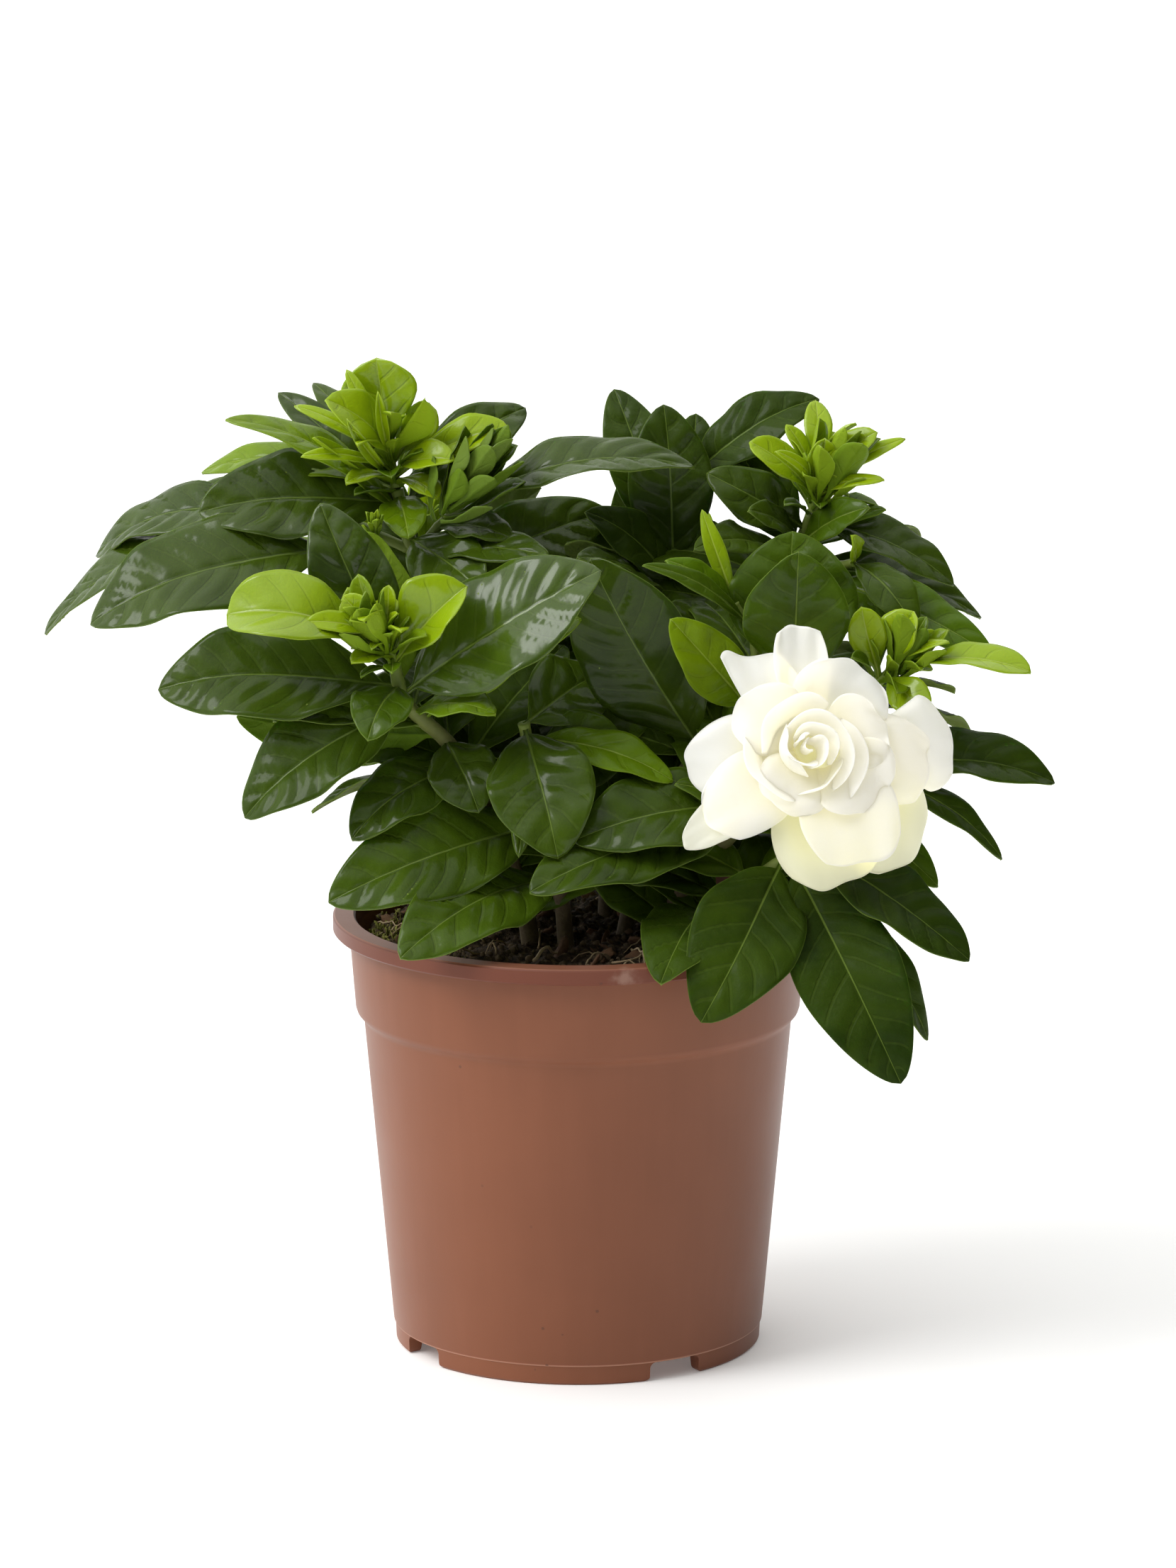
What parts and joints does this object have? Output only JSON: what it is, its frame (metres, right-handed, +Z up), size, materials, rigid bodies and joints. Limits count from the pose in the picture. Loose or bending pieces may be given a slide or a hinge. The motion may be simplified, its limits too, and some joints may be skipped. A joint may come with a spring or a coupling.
{
  "type": "potted gardenia",
  "caption": "Young gardenia shrub with glossy waved leaves, pale fresh tips and a full double bloom, standing in soil in a round plastic nursery pot.",
  "frame": {"origin": "centre of the object's bounding box, on the surface that it stands on", "axes": "+Z up; +X to the right and +Y away as seen from the side that the bloom looks to"},
  "size_m": [0.2474, 0.1586, 0.244],
  "materials": {
    "pot_plastic": "satin",
    "soil": "matte",
    "leaf": "satin",
    "young_leaf": "satin",
    "calyx": "satin",
    "petal": "matte"
  },
  "bodies": {
    "root": {"pot": "pot_plastic", "soil": "soil", "shoot_front_left": "leaf", "shoot_upper_left": "leaf", "shoot_centre": "leaf", "shoot_middle": "leaf", "shoot_upper_right": "leaf", "shoot_right": "leaf", "shoot_bloom": "leaf", "shoot_low_right": "leaf", "shoot_low_front": "leaf", "shoot_back_left": "leaf", "shoot_back_right": "leaf", "tuft_front_left": "young_leaf", "tuft_upper_left": "young_leaf", "tuft_upper_right": "young_leaf", "tuft_right": "young_leaf", "tuft_back_left": "young_leaf", "tuft_back_right": "young_leaf", "calyx": "calyx", "bloom": "petal"}
  },
  "joints": []
}
